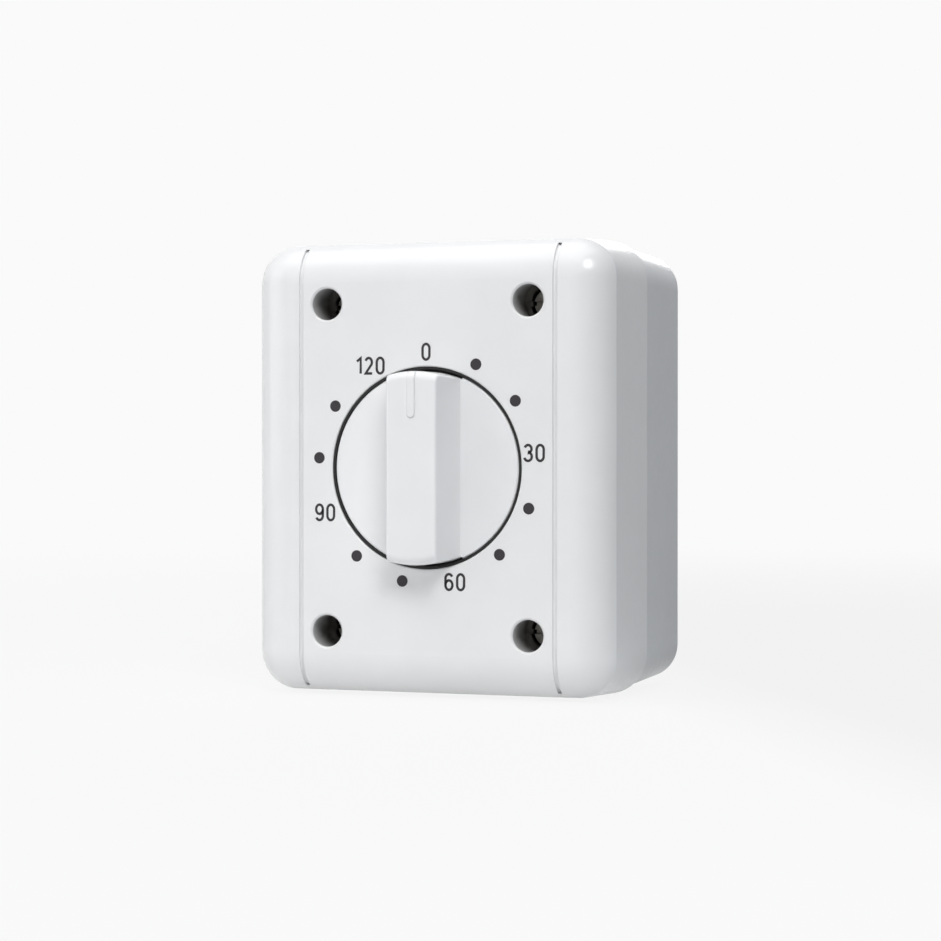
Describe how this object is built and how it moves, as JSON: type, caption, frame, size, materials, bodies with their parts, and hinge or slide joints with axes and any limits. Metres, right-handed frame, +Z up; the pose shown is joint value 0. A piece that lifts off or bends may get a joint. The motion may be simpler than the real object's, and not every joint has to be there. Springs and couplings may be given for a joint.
{
  "type": "timer light switch",
  "caption": "Surface-mounted clockwork timer light switch: white two-part housing, turn knob with grip bar in a round dial opening, wound movement and cam-worked contacts inside.",
  "frame": {"origin": "centre of the flat back face that lies on the wall", "axes": "+X to the right and +Z up as seen from the front, +Y into the wall; the knob faces -Y"},
  "size_m": [0.075, 0.0565, 0.0886],
  "materials": {
    "housing_white": "glossy moulded thermoplastic",
    "knob_white": "glossy moulded thermoplastic",
    "seal_black": "soft black rubber",
    "gasket_grey": "soft foam rubber",
    "grommet_grey": "soft pale rubber",
    "screw_steel": "zinc-plated steel",
    "frame_steel": "galvanised sheet steel",
    "arbor_steel": "turned and polished steel",
    "movement_brass": "stamped brass",
    "spring_steel": "blued spring steel",
    "switch_moulding": "dark thermoset moulding",
    "cam_nylon": "natural nylon",
    "contact_bronze": "rolled phosphor bronze",
    "contact_silver": "silver alloy",
    "clamp_steel": "plated steel"
  },
  "bodies": {
    "housing": {"rear_box": "housing_white", "front_cover": "housing_white", "housing_gasket": "gasket_grey", "cover_screws": "screw_steel", "screw_washers": "seal_black", "bottom_grommet": "grommet_grey", "top_grommet": "grommet_grey", "knob_seal": "seal_black", "arbor_bushes": "movement_brass", "support_frame": "frame_steel", "frame_screws": "screw_steel", "spring_drum": "frame_steel", "drum_cover": "frame_steel", "drum_rivets": "screw_steel", "mainspring": "spring_steel", "front_plate": "movement_brass", "back_plate": "movement_brass", "plate_pillars": "movement_brass", "front_plate_screws": "screw_steel", "back_plate_screws": "screw_steel", "hairspring": "spring_steel", "hairspring_stud": "movement_brass", "stop_post": "arbor_steel", "switch_base": "switch_moulding", "contact_springs": "contact_bronze", "contact_tips": "contact_silver", "fixed_contacts": "contact_bronze", "terminal_clamps": "clamp_steel", "terminal_screws": "screw_steel", "base_screws": "screw_steel"},
    "knob_assembly": {"timer_knob": "knob_white", "knob_clip": "spring_steel", "main_arbor": "arbor_steel", "great_wheel": "movement_brass", "clutch_spring": "spring_steel", "clutch_collar": "movement_brass", "stop_arm": "frame_steel", "switching_cams": "cam_nylon"},
    "second_arbor": {"second_wheel": "movement_brass", "second_pinion": "arbor_steel"},
    "third_arbor": {"third_wheel": "movement_brass", "third_pinion": "arbor_steel"},
    "fourth_arbor": {"fourth_wheel": "movement_brass", "fourth_pinion": "arbor_steel"},
    "escape_arbor": {"escape_wheel": "movement_brass", "escape_pinion": "arbor_steel"},
    "pallet_lever": {"pallet_fork": "movement_brass", "pallet_pins": "arbor_steel", "pallet_arbor": "arbor_steel"},
    "balance": {"balance_wheel": "movement_brass", "balance_staff": "arbor_steel", "impulse_pin": "arbor_steel"}
  },
  "joints": [
    {"name": "knob_turn", "type": "hinge", "parent": "housing", "child": "knob_assembly", "pos_m": [0, -0.0286, 0], "axis": [0, 1, 0], "range_deg": [0, 330], "deforming": ["mainspring", "contact_springs"]},
    {"name": "second_arbor_turn", "type": "hinge", "parent": "housing", "child": "second_arbor", "pos_m": [-0.0103, -0.0286, -0.0103], "axis": [0, 1, 0], "range_deg": [-1986, 0]},
    {"name": "third_arbor_turn", "type": "hinge", "parent": "housing", "child": "third_arbor", "pos_m": [0.00128, -0.0286, -0.01451], "axis": [0, 1, 0], "range_deg": [0, 11916]},
    {"name": "fourth_arbor_turn", "type": "hinge", "parent": "housing", "child": "fourth_arbor", "pos_m": [0.01115, -0.0286, -0.01052], "axis": [0, 1, 0], "range_deg": [-71496, 0]},
    {"name": "escape_arbor_turn", "type": "hinge", "parent": "housing", "child": "escape_arbor", "pos_m": [0.01604, -0.0286, -0.00269], "axis": [0, 1, 0], "range_deg": [0, 428976]},
    {"name": "pallet_rock", "type": "hinge", "parent": "housing", "child": "pallet_lever", "pos_m": [0.01557, -0.0286, 0.00271], "axis": [0, 1, 0], "range_deg": [-5, 5]},
    {"name": "balance_swing", "type": "hinge", "parent": "housing", "child": "balance", "pos_m": [0.01484, -0.0286, 0.01108], "axis": [0, 1, 0], "range_deg": [-25, 25], "deforming": ["hairspring"]}
  ],
  "couplings": [
    {"joint": "second_arbor_turn", "follows": "knob_turn", "ratio": -6},
    {"joint": "third_arbor_turn", "follows": "knob_turn", "ratio": 36},
    {"joint": "fourth_arbor_turn", "follows": "knob_turn", "ratio": -216},
    {"joint": "escape_arbor_turn", "follows": "knob_turn", "ratio": 1296},
    {"joint": "balance_swing", "follows": "pallet_rock", "ratio": -5}
  ]
}
